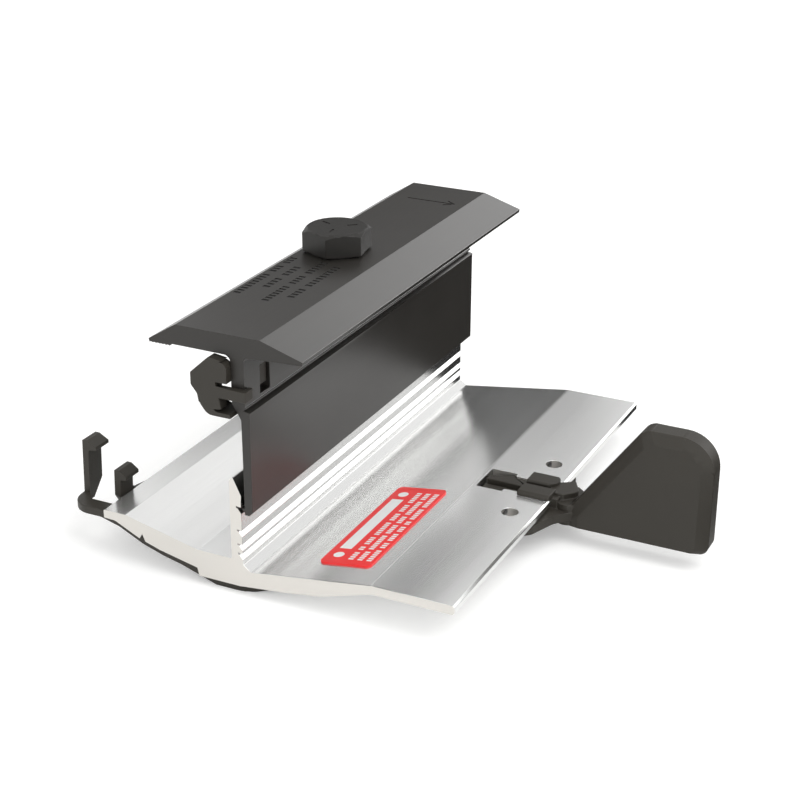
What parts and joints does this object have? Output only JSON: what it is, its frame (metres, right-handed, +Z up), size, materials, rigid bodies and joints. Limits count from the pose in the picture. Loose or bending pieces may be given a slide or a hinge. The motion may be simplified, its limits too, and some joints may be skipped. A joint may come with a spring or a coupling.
{
  "type": "solar panel clamp",
  "caption": "Mid clamp for solar modules: slotted aluminium base, dark top clamp on a hex bolt, and a snap-in frame clip with a flat handle.",
  "frame": {"origin": "on the bolt's axis, half way along the extrusions, at the height of the right module seat", "axes": "+X from the channel side to the handle side, +Y along the extrusions away from the web clip, +Z up along the bolt"},
  "size_m": [0.1194, 0.1031, 0.0594],
  "materials": {
    "mill_aluminium": "satin",
    "dark_anodised": "matte",
    "bolt_steel": "black zinc, satin",
    "spring_steel": "satin",
    "clip_plastic": "matte",
    "label_film": "satin"
  },
  "bodies": {
    "base": {"base_extrusion": "mill_aluminium", "frame_clip": "clip_plastic", "label": "label_film"},
    "bolt_keeper": {"bolt_retainer": "spring_steel"},
    "bolt": {"clamp_bolt": "bolt_steel"},
    "clamp": {"top_clamp": "dark_anodised", "web_clip": "clip_plastic"}
  },
  "joints": [
    {"name": "clamp_height", "type": "slide", "parent": "base", "child": "bolt_keeper", "axis": [0, 0, 1], "range_m": [-0.01, 0]},
    {"name": "bolt_turn", "type": "hinge", "parent": "bolt_keeper", "child": "bolt", "pos_m": [0, 0, 0], "axis": [0, 0, 1], "range_deg": [-2552, 0]},
    {"name": "clamp_latch", "type": "slide", "parent": "bolt_keeper", "child": "clamp", "axis": [1, 0, 0], "range_m": [-0.0007, 0]}
  ],
  "couplings": [
    {"joint": "bolt_turn", "follows": "clamp_height", "rad_per_m": 4452.7}
  ]
}
